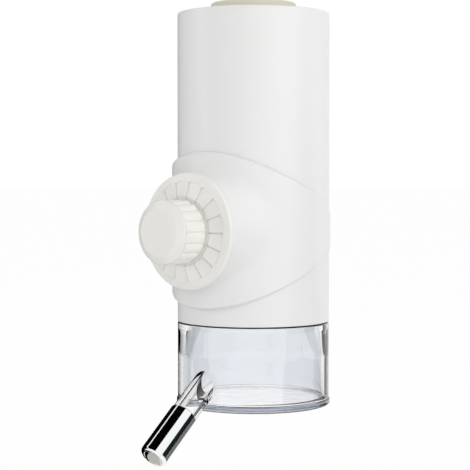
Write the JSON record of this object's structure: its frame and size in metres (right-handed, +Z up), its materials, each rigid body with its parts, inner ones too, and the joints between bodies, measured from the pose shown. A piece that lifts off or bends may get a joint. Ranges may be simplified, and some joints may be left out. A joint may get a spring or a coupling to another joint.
{
  "type": "pet water bottle",
  "caption": "Cylindrical cage-mounted pet water bottle: white tank, clear screw-on cup with a slanted ball nozzle, filler plug and screw clamp with a fluted knob.",
  "frame": {"origin": "middle of the round clamping face on the tank's saddle, on the knob's axis", "axes": "+Z up along the bottle's axis towards the filler plug, -Y out of the clamping face along the knob's axis, +X across the bottle"},
  "size_m": [0.073, 0.1061, 0.205],
  "materials": {
    "white_gloss": "glossy moulded white plastic",
    "clamp_white": "satin moulded warm white plastic",
    "plug_silicone": "soft matt ivory silicone",
    "seal_rubber": "dark grey matt rubber",
    "clear_plastic": "clear polished plastic with a faint blue tint",
    "polished_steel": "mirror polished stainless steel",
    "stud_steel": "plain machined stainless steel"
  },
  "bodies": {
    "bottle": {"tank_shell": "white_gloss", "mount_saddle": "white_gloss", "clamp_stud": "stud_steel"},
    "clamp_plate": {"clamp_disc": "clamp_white"},
    "knob": {"knob_body": "clamp_white", "knob_cap": "clamp_white"},
    "plug": {"filler_plug": "plug_silicone"},
    "gasket": {"cup_gasket": "seal_rubber"},
    "cup": {"clear_cup": "clear_plastic", "nozzle_pipe": "polished_steel", "pipe_seal": "seal_rubber", "valve_spring": "stud_steel"},
    "ball": {"valve_ball": "polished_steel"}
  },
  "joints": [
    {"name": "clamp_slide", "type": "slide", "parent": "bottle", "child": "clamp_plate", "axis": [0, -1, 0], "range_m": [0, 0.0075]},
    {"name": "knob_turn", "type": "hinge", "parent": "clamp_plate", "child": "knob", "pos_m": [0, 0, 0], "axis": [0, -1, 0], "range_deg": [0, 1080]},
    {"name": "plug_lift", "type": "slide", "parent": "bottle", "child": "plug", "axis": [0, 0, 1], "range_m": [0, 0.02]},
    {"name": "gasket_drop", "type": "slide", "parent": "bottle", "child": "gasket", "axis": [0, 0, -1], "range_m": [0, 0.012]},
    {"name": "cup_turn", "type": "hinge", "parent": "gasket", "child": "cup", "pos_m": [0, 0.0434, -0.0806], "axis": [0, 0, -1], "range_deg": [0, 1080]},
    {"name": "ball_press", "type": "slide", "parent": "cup", "child": "ball", "axis": [0, 0.7683, 0.6401], "range_m": [0, 0.0022], "stiffness_N_per_m": 40, "springref_m": -0.004, "deforming": ["valve_spring"]}
  ],
  "couplings": [
    {"joint": "clamp_slide", "follows": "knob_turn", "m_per_rad": 0.00039788},
    {"joint": "gasket_drop", "follows": "cup_turn", "m_per_rad": 0.00063661}
  ]
}
